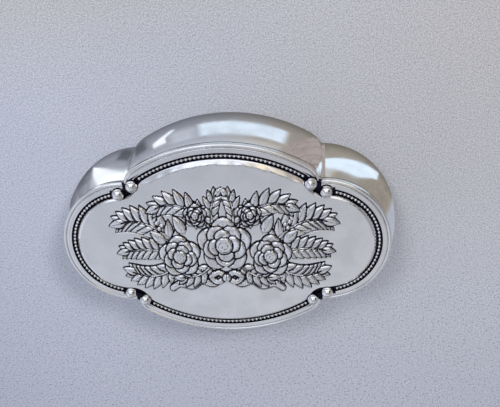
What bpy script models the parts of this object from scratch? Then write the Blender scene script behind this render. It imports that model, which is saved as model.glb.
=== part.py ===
"""A quatrefoil trinket box in polished silver with a lift-off cover.

The box stands on its base plate at height zero, +Z up, long side along X.
Its plan is four arcs: two wide ones at the back and front, rounded off at
their corners, and two tight ones at the ends, meeting in four creases. Every
outline on the box is these arcs moved outwards or inwards, so a piece is
described by rings: an offset from the bead line and a height. Heights on the
cover count from its flat land.
"""

import math

import bmesh
import bpy
from mathutils import Matrix, Vector, geometry

for leftover in list(bpy.data.objects):
    bpy.data.objects.remove(leftover, do_unlink=True)

# Plan of the bead line, which all other outlines follow
BEAD_HALF_LENGTH = 0.0490
BEAD_HALF_WIDTH = 0.03005
LONG_ARC_RADIUS = 0.04863
END_ARC_RADIUS = 0.01772
CORNER_RADIUS = 0.0030
LEAST_CORNER_RADIUS = 0.0003
CORNER_TURN_DEG = 31.5

# Height of the cover's land above the table, and the gaps between pieces
LAND_HEIGHT = 0.0340
SOLDER_GAP = 0.0003
LIFT_CLEARANCE = 0.0003
LINING_CLEARANCE = 0.0003

# Cover: rolled edge, flat land, bead channel and raised panel
SHEET = 0.0007
LAND_INNER_OFFSET = 0.0010
LAND_OUTER_OFFSET = 0.00245
CHANNEL_DEPTH = 0.0009
ROLL_RADIUS = 0.0006
ROLL_DROP = 0.0001
GROOVE_WIDTH = 0.00015
GROOVE_DEPTH = 0.00045
SKIRT_DEPTH = 0.0024
PANEL_RISE = 0.0008
PANEL_CROWN = 0.0004
PANEL_SHOULDER = 0.0034
COVER_CREASE_RADIUS = 0.0005

# Relief of roses and leaves on the right half of the panel, and its net of points
ROSE_HEIGHT = 0.0016
ROSE_RIM_SHARE = 0.50
LEAF_HEIGHT = 0.0006
LEAF_STEPS = 12
RELIEF_EDGE = 0.0009
NET_STEP = 0.0014
NET_HALF_LENGTH = 0.0370
NET_HALF_WIDTH = 0.0200

# Each rose: its place along and across, its reach, and its height
ROSE_SHARES = ((0.0, 0.002, 0.175, 1.0), (0.298, -0.080, 0.139, 0.84),
               (0.176, 0.216, 0.076, 0.66))

# Each leaf or loop of ribbon: its root, the point it bends towards, its tip, half its width
LEAF_SHARES = (((0.306, -0.016), (0.469, 0.234), (0.680, 0.165), 0.100),
               ((0.306, -0.131), (0.449, -0.296), (0.640, -0.200), 0.088),
               ((0.327, -0.061), (0.490, 0.000), (0.670, -0.045), 0.080),
               ((0.100, 0.140), (0.245, 0.380), (0.450, 0.270), 0.086),
               ((0.055, 0.163), (0.092, 0.292), (0.025, 0.375), 0.066),
               ((0.102, -0.163), (0.163, -0.250), (0.310, -0.250), 0.066),
               ((0.265, 0.100), (0.285, 0.150), (0.315, 0.195), 0.036),
               ((0.0, -0.245), (0.060, -0.225), (0.110, -0.270), 0.055),
               ((0.110, -0.290), (0.250, -0.270), (0.410, -0.335), 0.034))

# Where along the swell and fall of its width a leaf begins and ends
LEAF_ROOT_SHARE = 0.22
LEAF_TIP_SHARE = 0.88

# Beads in the channel and balls at their ends
BEAD_RADIUS = 0.0005
BEAD_NECK_RADIUS = 0.00024
LONG_BEADS = 40
END_BEADS = 38
BEAD_END_CLEARANCE = 0.00085
BALL_RADIUS = 0.00188
BALL_SEAT_DEPTH = 0.0008
BALL_RAISE = 0.0009
LONG_ROW_SWEEP_DEG = 35.3
END_ROW_SWEEP_DEG = 86.4
LONG_BALL_INSET = 0.00045
END_BALL_OUTSET = 0.00035

# Bezel inside the cover, which drops into the mouth of the box
BEZEL_SHEET = 0.0006
BEZEL_DEPTH = 0.0057

# Bulging wall and base plate
WALL_MOUTH_OFFSET = 0.00365
LONG_BULGE = 0.00175
END_BULGE = 0.00255
LONG_TURN_IN = 0.0034
END_TURN_IN = 0.0039
GIRTH_DROP = 0.0190
TURN_IN_POWER = 2.6
WALL_CREASE_AT_MOUTH = 0.0006
WALL_CREASE_AT_GIRTH = 0.0012
BASE_SHEET = 0.0008
BASE_INSET = 0.0002

# Linings
BOARD_SHEET = 0.0008
LINING_SHEET = 0.0012
FLOOR_PAD_HEIGHT = 0.0030
COVER_PAD_HEIGHT = 0.0028
PAD_CROWN = 0.0007
PAD_BULGE = 0.0003
PAD_SHOULDER_SHARE = 0.94

# Fineness of the curves
LONG_STEPS = 6
CORNER_STEPS = 3
END_STEPS = 7
CREASE_STEPS = 3
WALL_LEVELS_ABOVE_GIRTH = 5
WALL_LEVELS_BELOW_GIRTH = 5
LINING_LEVELS = 4
ROLL_ANGLES_DEG = (-45.0, 0.0, 45.0, 90.0, 140.0)
SHOULDER_SHARES = (0.3, 0.65, 1.0)
PAD_RING_SHARES = (0.75, 0.40)
BEAD_SIDES = 6
BALL_SIDES = 12
BALL_RINGS = 5

END_CENTRE = (BEAD_HALF_LENGTH - END_ARC_RADIUS, 0.0)
LONG_CENTRE = (0.0, BEAD_HALF_WIDTH - LONG_ARC_RADIUS)
CORNER_ANGLE = math.pi / 2 - math.radians(CORNER_TURN_DEG)
MOUTH_HEIGHT = LAND_HEIGHT - SKIRT_DEPTH - SOLDER_GAP
GIRTH_HEIGHT = LAND_HEIGHT - GIRTH_DROP
WALL_FOOT_HEIGHT = BASE_SHEET + SOLDER_GAP
LONG_FOOT_OFFSET = WALL_MOUTH_OFFSET + LONG_BULGE - LONG_TURN_IN
END_FOOT_OFFSET = WALL_MOUTH_OFFSET + END_BULGE - END_TURN_IN
COVER_UNDERSIDE = -(CHANNEL_DEPTH + SHEET)
SKIRT_INNER_OFFSET = WALL_MOUTH_OFFSET - SHEET
BEZEL_OFFSET = SKIRT_INNER_OFFSET - LIFT_CLEARANCE
BEZEL_INNER_OFFSET = BEZEL_OFFSET - BEZEL_SHEET
BEZEL_TOP = COVER_UNDERSIDE - SOLDER_GAP
BEZEL_BOTTOM = BEZEL_TOP - BEZEL_DEPTH
FLOOR_BOARD_HEIGHT = WALL_FOOT_HEIGHT
FLOOR_PAD_BOTTOM = FLOOR_BOARD_HEIGHT + BOARD_SHEET + LINING_CLEARANCE


def metal_or_cloth(name, colour, roughness, metallic):
    """A plain Principled material in the finish's own colour."""
    made = bpy.data.materials.new(name)
    made.use_nodes = True
    shader = made.node_tree.nodes["Principled BSDF"]
    shader.inputs["Base Color"].default_value = (*colour, 1.0)
    shader.inputs["Roughness"].default_value = roughness
    shader.inputs["Metallic"].default_value = metallic
    return made


def polar(centre, radius, angle):
    return (centre[0] + radius * math.cos(angle), centre[1] + radius * math.sin(angle))


def arc(centre, radius, start, end, steps):
    """Points along an arc, without its last one."""
    turn = (end - start) / steps
    return [polar(centre, radius, start + turn * step) for step in range(steps)]


def corner_of_lobe(long_offset):
    """Centre and radius of the arc that rounds off a long lobe beside the crease."""
    radius = max(LEAST_CORNER_RADIUS, CORNER_RADIUS + long_offset)
    reach = LONG_ARC_RADIUS + long_offset - radius
    return polar(LONG_CENTRE, reach, CORNER_ANGLE), radius


def crease_centre(long_offset, end_offset, crease_radius):
    """Centre of the small hollow arc that joins an end arc to a long lobe's corner."""
    corner, corner_radius = corner_of_lobe(long_offset)
    reach_end = END_ARC_RADIUS + end_offset + crease_radius
    reach_corner = corner_radius + crease_radius
    towards = Vector(corner) - Vector(END_CENTRE)
    apart = towards.length
    towards.normalize()
    along = (reach_end ** 2 - reach_corner ** 2 + apart ** 2) / (2 * apart)
    aside = math.sqrt(reach_end ** 2 - along ** 2)
    found = Vector(END_CENTRE) + towards * along + Vector((towards.y, -towards.x)) * aside
    return found.x, found.y


def outline(long_offset, end_offset, crease_radius):
    """The quatrefoil, anticlockwise from the middle of the right-hand end."""
    long_radius = LONG_ARC_RADIUS + long_offset
    end_radius = END_ARC_RADIUS + end_offset
    corner, corner_radius = corner_of_lobe(long_offset)
    crease = crease_centre(long_offset, end_offset, crease_radius)
    end_angle = math.atan2(crease[1] - END_CENTRE[1], crease[0] - END_CENTRE[0])
    turn = math.atan2(crease[1] - corner[1], crease[0] - corner[0])
    quarter = arc(END_CENTRE, end_radius, 0, end_angle, END_STEPS)
    quarter += arc(crease, crease_radius, end_angle + math.pi, turn + math.pi, CREASE_STEPS)
    quarter += arc(corner, corner_radius, turn, CORNER_ANGLE, CORNER_STEPS)
    quarter += arc(LONG_CENTRE, long_radius, CORNER_ANGLE, math.pi / 2, LONG_STEPS)
    top = polar(LONG_CENTRE, long_radius, math.pi / 2)
    half = quarter + [top] + [(-x, y) for x, y in reversed(quarter)]
    return half + [(x, -y) for x, y in reversed(half[1:-1])]


def ring(long_offset, end_offset, crease_radius, height):
    return [(x, y, height) for x, y in outline(long_offset, end_offset, crease_radius)]


def cover_crease(offset):
    """Radius of the crease that keeps a ring of the cover parallel to its rim."""
    return COVER_CREASE_RADIUS + WALL_MOUTH_OFFSET - offset


def even_ring(offset, height):
    return ring(offset, offset, cover_crease(offset), height)


def shrunk_ring(wide_ring, share, height):
    """The same outline drawn in towards the middle of the box."""
    return [(x * share, y * share, height) for x, y, _ in wide_ring]


def join_rings(made, lower, upper):
    for here in range(len(lower)):
        there = (here + 1) % len(lower)
        made.faces.new((lower[here], lower[there], upper[there], upper[here]))


def close_ring(made, loop, centre):
    """Closes an open end, round a centre point or as one flat face."""
    if centre is None:
        made.faces.new(loop)
        return
    middle = made.verts.new(centre)
    for here in range(len(loop)):
        made.faces.new((loop[here], loop[(here + 1) % len(loop)], middle))


def skin(made, rings):
    """Joins rings of points, in order, into one open surface."""
    loops = [[made.verts.new(point) for point in points] for points in rings]
    for lower, upper in zip(loops, loops[1:]):
        join_rings(made, lower, upper)
    return loops


def loft(name, rings, material, first_centre=None, last_centre=None, endless=False):
    """Joins rings of points into one closed body."""
    made = bmesh.new()
    loops = skin(made, rings)
    if endless:
        join_rings(made, loops[-1], loops[0])
    else:
        close_ring(made, loops[0], first_centre)
        close_ring(made, loops[-1], last_centre)
    return finish(name, made, material)


def finish(name, made, material):
    """Turns a bmesh into a named object, smooth on its round parts."""
    bmesh.ops.recalc_face_normals(made, faces=made.faces)
    mesh = bpy.data.meshes.new(name)
    made.to_mesh(mesh)
    made.free()
    mesh.materials.append(material)
    mesh.shade_smooth()
    mesh.set_sharp_from_angle(angle=math.radians(35))
    piece = bpy.data.objects.new(name, mesh)
    bpy.context.scene.collection.objects.link(piece)
    return piece


def rose_height(x, y, rose):
    """Highest in the middle and lower towards the rim, which drops to the panel."""
    rose_x, rose_y, reach_share, height_share = rose
    away = math.hypot(abs(x) / BEAD_HALF_LENGTH - rose_x, y / BEAD_HALF_LENGTH - rose_y)
    inside = max(0.0, 1 - away / reach_share)
    edge = min(1.0, inside * reach_share * BEAD_HALF_LENGTH / RELIEF_EDGE)
    return ROSE_HEIGHT * height_share * (ROSE_RIM_SHARE + (1 - ROSE_RIM_SHARE) * inside) * edge


def leaf_height(x, y, leaf):
    """Flat on top, on both sides of a bent midrib, as wide as a leaf is at each place."""
    root, bend, tip, width_share = leaf
    here = Vector((abs(x) / BEAD_HALF_LENGTH, y / BEAD_HALF_LENGTH))
    inside = 0.0
    for step in range(LEAF_STEPS + 1):
        along = step / LEAF_STEPS
        midrib = Vector(root).lerp(bend, along).lerp(Vector(bend).lerp(tip, along), along)
        swell = LEAF_ROOT_SHARE + (LEAF_TIP_SHARE - LEAF_ROOT_SHARE) * along
        width = width_share * math.sin(math.pi * swell)
        inside = max(inside, width - (here - midrib).length)
    return LEAF_HEIGHT * min(1.0, inside * BEAD_HALF_LENGTH / RELIEF_EDGE)


def relief_height(x, y):
    """How far the roses and leaves stand up from the panel, alike on both sides."""
    roses = [rose_height(x, y, rose) for rose in ROSE_SHARES]
    leaves = [leaf_height(x, y, leaf) for leaf in LEAF_SHARES]
    return max(roses + leaves)


def panel_height(x, y):
    away = min(1.0, math.hypot(x / BEAD_HALF_LENGTH, y / BEAD_HALF_WIDTH))
    return PANEL_RISE + PANEL_CROWN * (1 - away ** 2) + relief_height(x, y)


def in_panel(x, y, margin):
    """Whether a point lies within the bead line by at least a margin."""
    in_end = math.hypot(abs(x) - END_CENTRE[0], y) < END_ARC_RADIUS - margin
    in_long = math.hypot(x, abs(y) - LONG_CENTRE[1]) < LONG_ARC_RADIUS - margin
    crease_x, crease_y = crease_centre(0, 0, cover_crease(0))
    from_crease = math.hypot(abs(x) - crease_x, abs(y) - crease_y)
    return (in_end or in_long) and from_crease > cover_crease(0) + margin


def panel_net():
    """Points in staggered rows over the part of the panel that carries relief."""
    margin = LAND_INNER_OFFSET + PANEL_SHOULDER + NET_STEP / 2
    row_step = NET_STEP * math.sin(math.pi / 3)
    across = round(NET_HALF_LENGTH / NET_STEP)
    rows = round(NET_HALF_WIDTH / row_step)
    points = []
    for row in range(-rows, rows + 1):
        stagger = NET_STEP / 2 * (row % 2)
        for place in range(-across, across + 1 - row % 2):
            x, y = place * NET_STEP + stagger, row * row_step
            if in_panel(x, y, margin):
                points.append((x, y))
    return points


def fill_panel(made, rim):
    """Covers the space inside a ring of corners with the panel and its relief."""
    net = panel_net()
    corners = rim + [made.verts.new((x, y, panel_height(x, y))) for x, y in net]
    flat = [corner.co.xy for corner in corners]
    sides = [(here, (here + 1) % len(rim)) for here in range(len(rim))]
    found = geometry.delaunay_2d_cdt(flat, sides, [], 1, 0)
    cells, sources = found[2], found[3]
    for cell in cells:
        made.faces.new([corners[sources[corner][0]] for corner in cell])


def edge_section():
    """Offsets and heights of the cover's edge, from its rim in to the panel."""
    roll_offset = LAND_OUTER_OFFSET + GROOVE_WIDTH + ROLL_RADIUS
    section = [(WALL_MOUTH_OFFSET, -SKIRT_DEPTH)]
    for angle_deg in ROLL_ANGLES_DEG:
        section.append(polar((roll_offset, -ROLL_DROP - ROLL_RADIUS), ROLL_RADIUS,
                             math.radians(angle_deg)))
    section += [(LAND_OUTER_OFFSET + GROOVE_WIDTH, -GROOVE_DEPTH), (LAND_OUTER_OFFSET, 0)]
    section += [(LAND_INNER_OFFSET, 0), (LAND_INNER_OFFSET, -CHANNEL_DEPTH)]
    section += [(-LAND_INNER_OFFSET, -CHANNEL_DEPTH), (-LAND_INNER_OFFSET, 0)]
    for share in SHOULDER_SHARES:
        rise = PANEL_RISE * math.sin(share * math.pi / 2)
        section.append((-LAND_INNER_OFFSET - PANEL_SHOULDER * share, rise))
    return section


def cover_shell(silver):
    """The stamped cover: one sheet from its skirt to the middle of the panel."""
    shoulder_foot = -LAND_INNER_OFFSET - SHEET
    shoulder_top = -LAND_INNER_OFFSET - PANEL_SHOULDER
    rings = [even_ring(shoulder_top, PANEL_RISE - SHEET),
             even_ring(shoulder_foot, COVER_UNDERSIDE),
             even_ring(SKIRT_INNER_OFFSET, COVER_UNDERSIDE),
             even_ring(SKIRT_INNER_OFFSET, -SKIRT_DEPTH)]
    rings += [even_ring(offset, height) for offset, height in edge_section()]
    made = bmesh.new()
    loops = skin(made, rings)
    close_ring(made, loops[0], (0, 0, PANEL_RISE + PANEL_CROWN - SHEET))
    fill_panel(made, loops[-1])
    shell = finish("cover_shell", made, silver)
    seats = shell.modifiers.new("ball_seats", "BOOLEAN")
    seats.operation = "DIFFERENCE"
    seats.object = ball_seat_cutter()
    return shell


def ball_sweeps():
    """Angle from the middle of each row of beads to the ball at its end: long row, end row."""
    return math.radians(LONG_ROW_SWEEP_DEG), math.radians(END_ROW_SWEEP_DEG)


def ball_places():
    """Middle of each ball, by name: one at each end of the four rows of beads."""
    long_sweep, end_sweep = ball_sweeps()
    long_x, long_y = polar(LONG_CENTRE, LONG_ARC_RADIUS - LONG_BALL_INSET,
                           math.pi / 2 - long_sweep)
    end_x, end_y = polar(END_CENTRE, END_ARC_RADIUS + END_BALL_OUTSET, end_sweep)
    places = {}
    for side, flip_x in (("right", 1), ("left", -1)):
        for face, flip_y in (("back", 1), ("front", -1)):
            places[f"ball_{face}_{side}_inner"] = (long_x * flip_x, long_y * flip_y)
            places[f"ball_{face}_{side}_outer"] = (end_x * flip_x, end_y * flip_y)
    return places


def ball_seat_cutter():
    """Round pockets that clear each ball down to its seat."""
    made = bmesh.new()
    for x, y in ball_places().values():
        tall = 2 * BALL_RADIUS
        place = Matrix.Translation((x, y, tall / 2 - BALL_SEAT_DEPTH))
        reach = BALL_RADIUS + SOLDER_GAP
        bmesh.ops.create_cone(made, cap_ends=True, segments=BALL_SIDES, radius1=reach,
                              radius2=reach, depth=tall, matrix=place)
    mesh = bpy.data.meshes.new("ball_seat_cutter")
    made.to_mesh(mesh)
    made.free()
    cutter = bpy.data.objects.new("ball_seat_cutter", mesh)
    bpy.context.scene.collection.objects.link(cutter)
    cutter.hide_render = True
    cutter.display_type = "WIRE"
    return cutter


def ball(name, x, y, silver):
    """A ball with a flat where it is soldered down."""
    flat = SOLDER_GAP - BALL_SEAT_DEPTH
    low = math.asin((flat - BALL_RAISE) / BALL_RADIUS)
    rings = []
    for step in range(BALL_RINGS):
        tilt = low + (math.pi / 2 - low) * step / BALL_RINGS
        height = BALL_RAISE + BALL_RADIUS * math.sin(tilt)
        around = arc((x, y), BALL_RADIUS * math.cos(tilt), 0, 2 * math.pi, BALL_SIDES)
        rings.append([(ring_x, ring_y, height) for ring_x, ring_y in around])
    return loft(name, rings, silver, last_centre=(x, y, BALL_RAISE + BALL_RADIUS))


def bead_wire(name, centre, radius, middle_deg, ball_sweep, beads, silver):
    """A row of beads between two balls: a thin wire that swells and narrows along an arc."""
    middle_height = SOLDER_GAP - CHANNEL_DEPTH + BEAD_RADIUS
    half_sweep = ball_sweep - (BALL_RADIUS + BEAD_END_CLEARANCE) / radius
    start = math.radians(middle_deg) - half_sweep
    half_pitch = half_sweep / beads
    rings = []
    for step in range(2 * beads + 1):
        thickness = BEAD_RADIUS if step % 2 else BEAD_NECK_RADIUS
        section = arc((0, 0), thickness, 0, 2 * math.pi, BEAD_SIDES)
        angle = start + half_pitch * step
        rings.append([(*polar(centre, radius + out, angle), middle_height + up)
                      for out, up in section])
    return loft(name, rings, silver)


def bead_wires(silver):
    front_centre = (LONG_CENTRE[0], -LONG_CENTRE[1])
    left_centre = (-END_CENTRE[0], END_CENTRE[1])
    long_sweep, end_sweep = ball_sweeps()
    long_row = (long_sweep, LONG_BEADS, silver)
    end_row = (end_sweep, END_BEADS, silver)
    return [bead_wire("bead_wire_back", LONG_CENTRE, LONG_ARC_RADIUS, 90, *long_row),
            bead_wire("bead_wire_front", front_centre, LONG_ARC_RADIUS, 270, *long_row),
            bead_wire("bead_wire_right", END_CENTRE, END_ARC_RADIUS, 0, *end_row),
            bead_wire("bead_wire_left", left_centre, END_ARC_RADIUS, 180, *end_row)]


def cover_bezel(silver):
    """The upright strip under the cover that guides it into the mouth."""
    section = [(BEZEL_OFFSET, BEZEL_TOP), (BEZEL_OFFSET, BEZEL_BOTTOM),
               (BEZEL_INNER_OFFSET, BEZEL_BOTTOM), (BEZEL_INNER_OFFSET, BEZEL_TOP)]
    rings = [even_ring(offset, height) for offset, height in section]
    return loft("cover_bezel", rings, silver, endless=True)


def pad_rings(long_offset, end_offset, crease_radius, seat, tall, crown):
    """Rings of a stuffed pad from its seat; tall and crown are negative downwards."""
    flat = (long_offset, end_offset, crease_radius)
    swollen = (long_offset + PAD_BULGE, end_offset + PAD_BULGE, crease_radius)
    rings = [ring(*flat, seat), ring(*swollen, seat + tall / 2)]
    shoulder = ring(*flat, seat + tall)
    rings.append(shrunk_ring(shoulder, PAD_SHOULDER_SHARE, seat + tall))
    for share in PAD_RING_SHARES:
        rings.append(shrunk_ring(shoulder, share, seat + tall + crown * (1 - share ** 2)))
    return rings


def cover_linings(board, cloth):
    """Card and stuffed pad inside the cover, within the bezel."""
    offset = BEZEL_INNER_OFFSET - LINING_CLEARANCE
    card_bottom = BEZEL_TOP - BOARD_SHEET
    card = loft("cover_lining_board", [even_ring(offset, BEZEL_TOP),
                                       even_ring(offset, card_bottom)], board)
    seat = card_bottom - LINING_CLEARANCE
    snug = offset - PAD_BULGE
    rings = pad_rings(snug, snug, cover_crease(snug), seat, -COVER_PAD_HEIGHT, -PAD_CROWN)
    pad = loft("cover_lining_pad", rings, cloth,
               last_centre=(0, 0, seat - COVER_PAD_HEIGHT - PAD_CROWN))
    return [card, pad]


def wall_ring(height, inset):
    """The wall's outline at a height, moved in from its outer face."""
    above = (MOUTH_HEIGHT - height) / (MOUTH_HEIGHT - GIRTH_HEIGHT)
    below = (GIRTH_HEIGHT - height) / (GIRTH_HEIGHT - WALL_FOOT_HEIGHT)
    swell = 1 - (1 - min(1.0, above)) ** 2
    turned = max(0.0, below) ** TURN_IN_POWER
    long_offset = WALL_MOUTH_OFFSET + LONG_BULGE * swell - LONG_TURN_IN * turned
    end_offset = WALL_MOUTH_OFFSET + END_BULGE * swell - END_TURN_IN * turned
    crease = WALL_CREASE_AT_MOUTH + (WALL_CREASE_AT_GIRTH - WALL_CREASE_AT_MOUTH) * swell
    return ring(long_offset - inset, end_offset - inset, crease + inset, height)


def levels(top, bottom, count):
    return [top + (bottom - top) * step / count for step in range(count + 1)]


def box_wall(silver):
    """The bulging band, widest at its girth and drawn in to the base."""
    heights = levels(MOUTH_HEIGHT, GIRTH_HEIGHT, WALL_LEVELS_ABOVE_GIRTH)
    heights += levels(GIRTH_HEIGHT, WALL_FOOT_HEIGHT, WALL_LEVELS_BELOW_GIRTH)[1:]
    rings = [wall_ring(height, 0) for height in heights]
    rings += [wall_ring(height, SHEET) for height in reversed(heights)]
    return loft("box_wall", rings, silver, endless=True)


def base_plate(silver):
    """The flat plate under the wall, on which the box stands."""
    plan = (LONG_FOOT_OFFSET - BASE_INSET, END_FOOT_OFFSET - BASE_INSET,
            WALL_CREASE_AT_GIRTH + BASE_INSET)
    return loft("base_plate", [ring(*plan, 0), ring(*plan, BASE_SHEET)], silver)


def box_linings(board, cloth):
    """Card and stuffed pad on the floor, and the strip round the wall."""
    inside = SHEET + LINING_CLEARANCE
    plan = (LONG_FOOT_OFFSET - inside, END_FOOT_OFFSET - inside, WALL_CREASE_AT_GIRTH + inside)
    card = loft("floor_lining_board", [ring(*plan, FLOOR_BOARD_HEIGHT),
                                       ring(*plan, FLOOR_BOARD_HEIGHT + BOARD_SHEET)], board)
    rings = pad_rings(*plan, FLOOR_PAD_BOTTOM, FLOOR_PAD_HEIGHT, PAD_CROWN)
    pad_top = FLOOR_PAD_BOTTOM + FLOOR_PAD_HEIGHT
    pad = loft("floor_lining_pad", rings, cloth, last_centre=(0, 0, pad_top + PAD_CROWN))
    strip_top = LAND_HEIGHT + BEZEL_BOTTOM - LINING_CLEARANCE
    heights = levels(strip_top, pad_top + LINING_CLEARANCE, LINING_LEVELS)
    rings = [wall_ring(height, inside) for height in heights]
    rings += [wall_ring(height, inside + LINING_SHEET) for height in reversed(heights)]
    strip = loft("side_lining_strip", rings, cloth, endless=True)
    return [card, pad, strip]


def build_box():
    silver = metal_or_cloth("polished_silver", (0.83, 0.83, 0.84), 0.12, 1.0)
    cloth = metal_or_cloth("blue_velvet", (0.05, 0.07, 0.20), 0.9, 0.0)
    board = metal_or_cloth("lining_board", (0.55, 0.48, 0.38), 0.85, 0.0)
    cover_axis = bpy.data.objects.new("cover_lift_axis", None)
    cover_axis.location = (0, 0, LAND_HEIGHT)
    bpy.context.scene.collection.objects.link(cover_axis)
    shell = cover_shell(silver)
    cover = [shell, shell.modifiers["ball_seats"].object, cover_bezel(silver)]
    cover += bead_wires(silver)
    cover += [ball(name, x, y, silver) for name, (x, y) in ball_places().items()]
    cover += cover_linings(board, cloth)
    for piece in cover:
        piece.parent = cover_axis
    box_wall(silver)
    base_plate(silver)
    box_linings(board, cloth)


build_box()
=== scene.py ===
# %% [markdown]
# # A quatrefoil trinket box in polished silver
#
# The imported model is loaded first. It is the fixed frame: every piece that is
# modelled below stands where a node of that model stands, and moves with the
# same body, so the box and its lift-off cover stay true to size.

# %% Load the frame
import math

import bmesh
import bpy
import numpy as np
from mathutils import Matrix, Vector
from mathutils.kdtree import KDTree


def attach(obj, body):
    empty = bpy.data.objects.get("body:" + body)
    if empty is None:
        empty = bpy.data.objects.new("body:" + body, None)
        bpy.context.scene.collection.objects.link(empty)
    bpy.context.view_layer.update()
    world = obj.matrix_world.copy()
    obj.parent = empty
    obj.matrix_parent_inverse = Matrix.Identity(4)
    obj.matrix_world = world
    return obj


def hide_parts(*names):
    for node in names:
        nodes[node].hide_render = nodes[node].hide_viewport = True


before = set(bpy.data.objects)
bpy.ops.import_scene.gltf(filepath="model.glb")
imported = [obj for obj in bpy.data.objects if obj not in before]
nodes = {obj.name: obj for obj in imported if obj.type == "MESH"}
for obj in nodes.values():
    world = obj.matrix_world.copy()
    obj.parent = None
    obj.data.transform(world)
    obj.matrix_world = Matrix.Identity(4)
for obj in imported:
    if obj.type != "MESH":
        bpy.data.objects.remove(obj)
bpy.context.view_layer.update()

mm = 0.001

# %% [markdown]
# ## Camera
#
# The photograph looks down on the cover from about twenty-six degrees off the
# vertical, so that the back wall shows above the rim. The camera's place and
# turn were found from the outline of the beads and of the rim. Its three
# directions are written as a matrix, which is the plainest way to give a turn
# that was measured rather than composed.

# %% Camera
camera_data = bpy.data.cameras.new("camera")
camera_data.sensor_width = 36.0
camera_data.lens = 55.32
camera_data.clip_start = 0.01
camera = bpy.data.objects.new("camera", camera_data)
bpy.context.scene.collection.objects.link(camera)
camera_place = Vector((0.02979, 0.11774, 0.24818))
view_right = Vector((0.99602587, -0.05081443, -0.0731461))
view_down = Vector((-0.01377903, -0.89930061, 0.43711389))
view_ahead = Vector((-0.08799202, -0.43436886, -0.89642685))
turn = Matrix((view_right, -view_down, -view_ahead)).transposed()
camera.matrix_world = Matrix.Translation(camera_place) @ turn.to_4x4()
bpy.context.scene.camera = camera
bpy.context.scene.view_settings.view_transform = "Standard"
print("camera looks along", [round(part, 3) for part in view_ahead])

# %% [markdown]
# ## Writing materials as sums
#
# A material is a small piece of arithmetic on positions and noises. The class
# below wraps one socket, so that `1 - mask * 0.5` adds the Math nodes that
# work it out, and its one method `node` adds any other kind of node. That
# keeps each finish readable as a few lines. The named methods after it are
# the shapes that the finishes need again and again: a soft step, a band, a
# distance, a noise, and a colour lit by a level.

# %% Shader arithmetic
class Wire:
    """One socket in a node tree. Sums on it add Math nodes."""

    def __init__(self, tree, socket=None):
        self.tree = tree
        self.socket = socket

    def node(self, kind, settings=None, sockets=None, output=0):
        """Adds a node: its settings come first, then the values or links of its sockets."""
        made = self.tree.nodes.new(kind)
        for name, value in (settings or {}).items():
            setattr(made, name, value)
        for name, value in (sockets or {}).items():
            if isinstance(value, Wire):
                self.tree.links.new(value.socket, made.inputs[name])
            else:
                made.inputs[name].default_value = value
        return Wire(self.tree, made.outputs[output])

    def maths(self, operation, *values):
        return self.node("ShaderNodeMath", {"operation": operation}, dict(enumerate(values)))

    def __add__(self, other):
        return self.maths("ADD", self, other)

    def __radd__(self, other):
        return self.maths("ADD", other, self)

    def __sub__(self, other):
        return self.maths("SUBTRACT", self, other)

    def __rsub__(self, other):
        return self.maths("SUBTRACT", other, self)

    def __mul__(self, other):
        return self.maths("MULTIPLY", self, other)

    def __rmul__(self, other):
        return self.maths("MULTIPLY", other, self)

    def ramp(self, low, high, start=0.0, end=1.0):
        """Runs smoothly from start to end as the value goes from low to high."""
        sockets = {"Value": self, "From Min": low, "From Max": high, "To Min": start, "To Max": end}
        return self.node("ShaderNodeMapRange", {"interpolation_type": "SMOOTHSTEP"}, sockets)

    def within(self, low, high, soft):
        """One between low and high, nothing outside, with edges of a softness."""
        rising = self.ramp(low - soft, low + soft)
        return rising * self.ramp(high - soft, high + soft, 1.0, 0.0)

    def size(self):
        """The value without its sign."""
        return self.maths("ABSOLUTE", self)

    def fraction(self):
        """The value's digits after the point, which start again at every whole number."""
        return self.maths("FRACT", self)

    def least(self, *others):
        """The smallest of several values."""
        return self if not others else self.maths("MINIMUM", self, others[0]).least(*others[1:])

    def most(self, *others):
        """The largest of several values."""
        return self if not others else self.maths("MAXIMUM", self, others[0]).most(*others[1:])

    def reach(self, other):
        """The length of two sides at right angles."""
        return self.maths("SQRT", self * self + other * other)

    def mix(self, low, high):
        """The first of two colours where this value is 0, the second where it is 1."""
        return self.node("ShaderNodeMix", {"data_type": "RGBA"}, {0: self, 6: low, 7: high}, 2)

    def lit(self, level):
        """This colour, brighter or darker by a level."""
        return self.node("ShaderNodeVectorMath", {"operation": "SCALE"}, {0: self, 3: level})

    def part(self, name):
        """The X, Y or Z of a place or a direction."""
        return self.node("ShaderNodeSeparateXYZ", sockets={0: self}, output=name)

    def noise(self, scale, detail):
        """A soft random pattern over these places, finer at a higher scale."""
        sockets = {"Vector": self, "Scale": scale, "Detail": detail}
        return self.node("ShaderNodeTexNoise", sockets=sockets)


def start_material(name):
    """A new material: the places on its piece as a Wire, its shader node and itself."""
    material = bpy.data.materials.new(name)
    material.use_nodes = True
    place = Wire(material.node_tree).node("ShaderNodeTexCoord", output="Object")
    return place, material.node_tree.nodes["Principled BSDF"], material


def feed(shader, name, value):
    """Links a Wire to the shader's socket, or sets a plain value on it."""
    if isinstance(value, Wire):
        value.tree.links.new(value.socket, shader.inputs[name])
    else:
        shader.inputs[name].default_value = value


print("shader arithmetic is ready")

# %% [markdown]
# ## Floor, backdrop and light
#
# Polished silver has almost no colour of its own: it shows what stands round
# it. So the room matters as much as the metal. It has four parts: a sheet of
# pale speckled paper under the box, two cards that only the silver shows, a
# sky that is painted by direction, and two soft lamps behind the box. The
# paper is one large plane. Its grain could be a picture of real paper, but
# noises of three sizes give it without one: a fine speckle, darker flecks
# towards the front, and wide faint clouds.

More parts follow.
